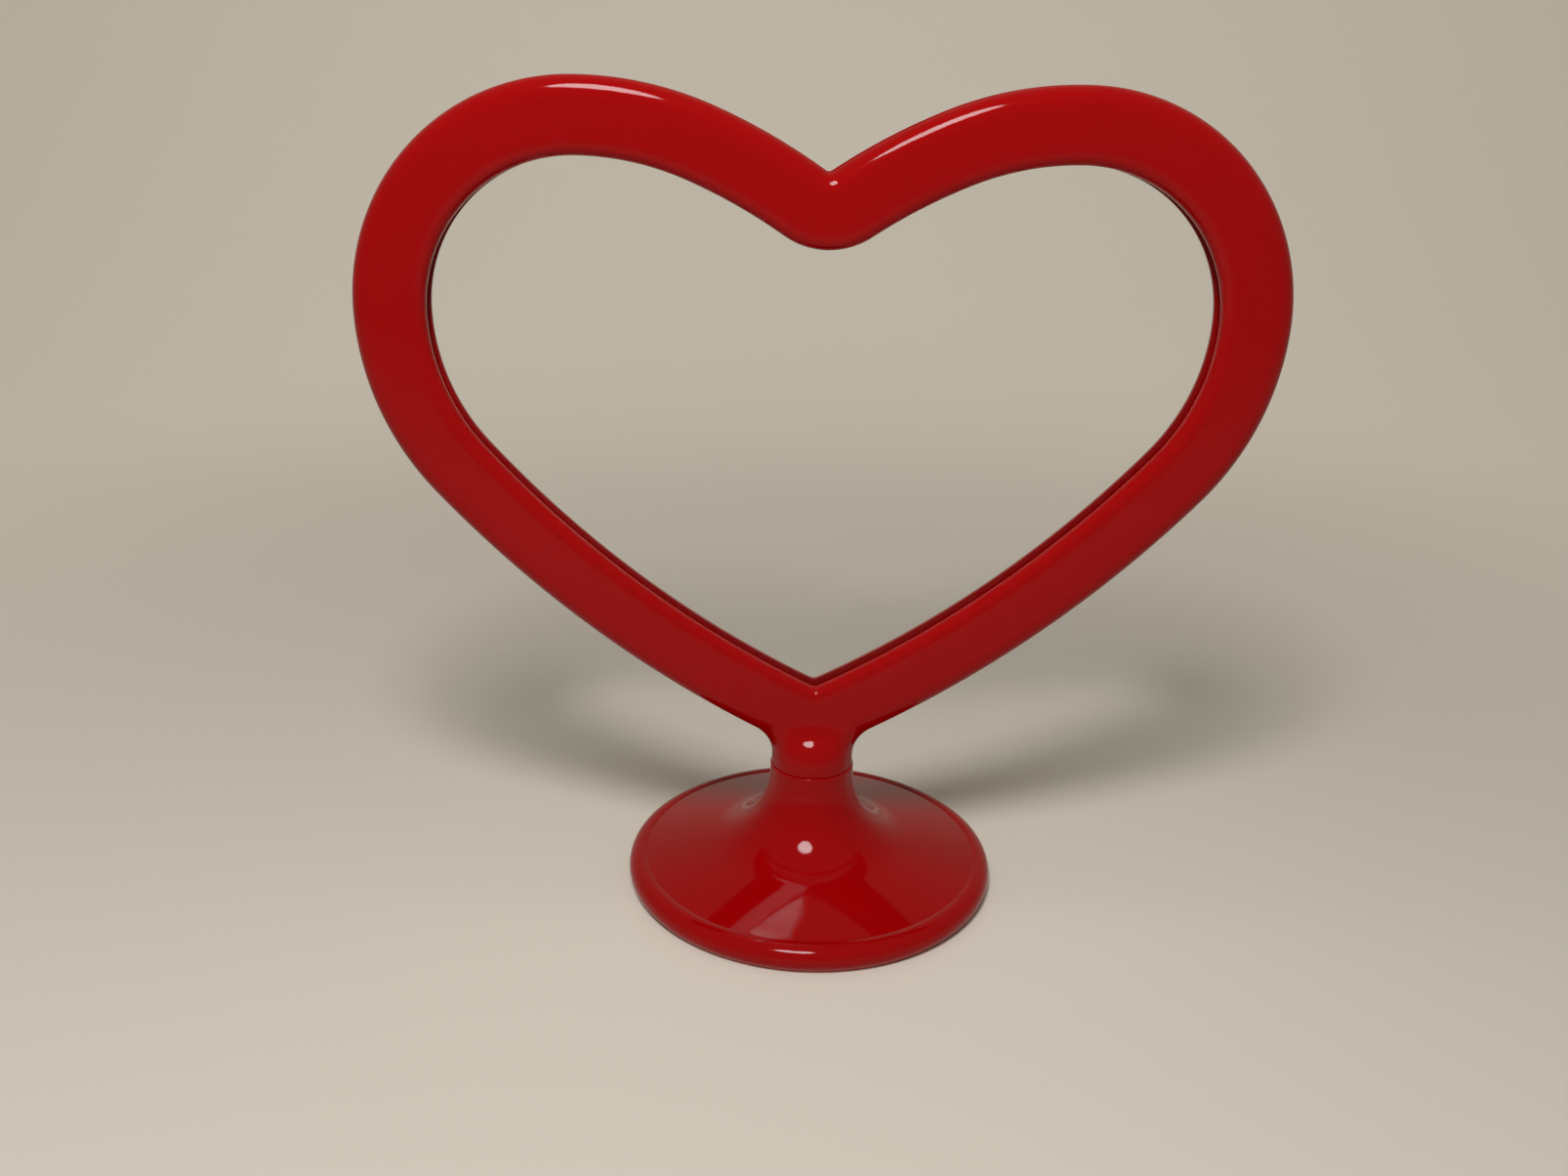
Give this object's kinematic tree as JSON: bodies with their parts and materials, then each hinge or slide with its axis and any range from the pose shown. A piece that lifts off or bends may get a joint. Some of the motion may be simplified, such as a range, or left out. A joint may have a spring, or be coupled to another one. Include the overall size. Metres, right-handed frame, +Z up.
{
  "type": "photo frame",
  "caption": "Heart shaped table photo frame: glossy red rail shells round two clear sheets that lift out at the top, on a neck that turns in a round trumpet foot.",
  "frame": {"origin": "on the table, under the middle of the round foot", "axes": "+X to the right across the heart, +Y to the back, +Z up; the heart faces -Y"},
  "size_m": [0.2154, 0.095, 0.1975],
  "materials": {
    "red_plastic": "high gloss moulded",
    "clear_plastic": "clear sheet"
  },
  "bodies": {
    "base": {"base": "red_plastic"},
    "heart": {"front_frame": "red_plastic", "back_frame": "red_plastic"},
    "front_pane": {"front_pane": "clear_plastic"},
    "back_pane": {"back_pane": "clear_plastic"}
  },
  "joints": [
    {"name": "heart_swivel", "type": "hinge", "parent": "base", "child": "heart", "pos_m": [0, 0, 0.032], "axis": [0, 0, 1], "continuous": true},
    {"name": "front_pane_lift", "type": "slide", "parent": "heart", "child": "front_pane", "axis": [0, 0, 1], "range_m": [0, 0.14]},
    {"name": "back_pane_lift", "type": "slide", "parent": "heart", "child": "back_pane", "axis": [0, 0, 1], "range_m": [0, 0.14]}
  ]
}
